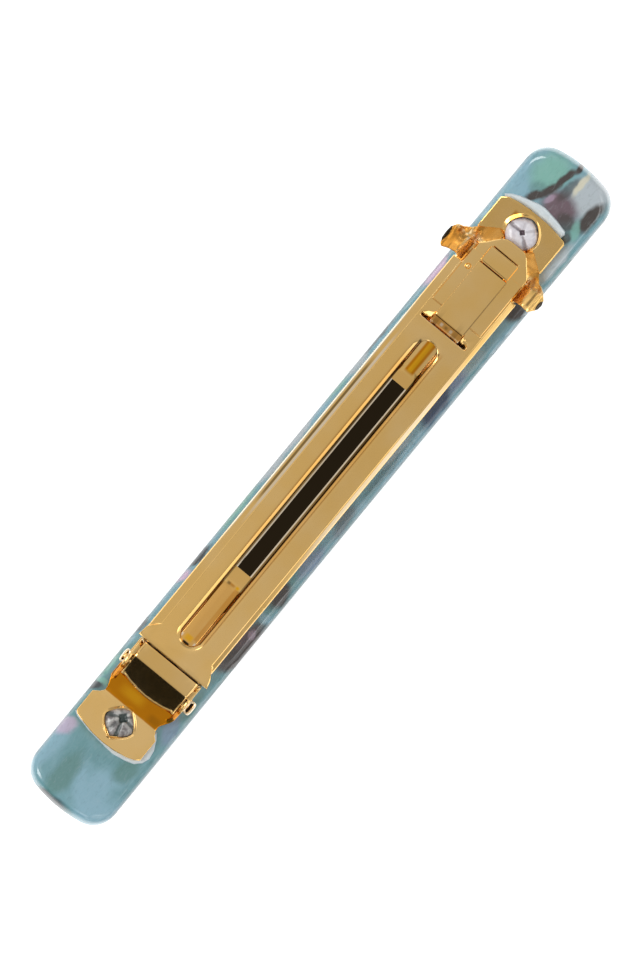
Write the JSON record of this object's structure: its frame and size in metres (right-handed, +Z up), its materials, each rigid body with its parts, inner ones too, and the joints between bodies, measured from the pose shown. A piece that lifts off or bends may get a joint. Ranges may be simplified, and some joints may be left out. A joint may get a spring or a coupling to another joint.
{
  "type": "hair barrette",
  "caption": "Curved pearl-marbled acetate hair barrette with a gold-plated spring clip: hinged slotted lever, tension bar and squeeze catch on a narrow base.",
  "frame": {"origin": "on the surface the barrette rests on, under the middle of its length and the middle of the clip", "axes": "+X along the bar towards the catch, +Z up from the show face towards the clip side"},
  "size_m": [0.097, 0.0144, 0.0131],
  "materials": {
    "acetate": "polished, marbled with pearl",
    "gold_plate": "bright gold plating on stamped steel",
    "spring_gold": "bright gold plating on spring steel",
    "plug_acetate": "pearly, pressed",
    "cement": "cloudy white"
  },
  "bodies": {
    "base": {"acetate_bar": "acetate", "clip_base": "gold_plate", "plug_hinge_end": "plug_acetate", "plug_catch_end": "plug_acetate", "cement_hinge_end": "cement", "cement_catch_end": "cement"},
    "lever_arm": {"lever": "gold_plate", "tension_bar": "spring_gold"}
  },
  "joints": [
    {"name": "lever_hinge", "type": "hinge", "parent": "base", "child": "lever_arm", "pos_m": [-0.0298, 0, 0.01065], "axis": [0, -1, 0], "range_deg": [0, 85]}
  ]
}
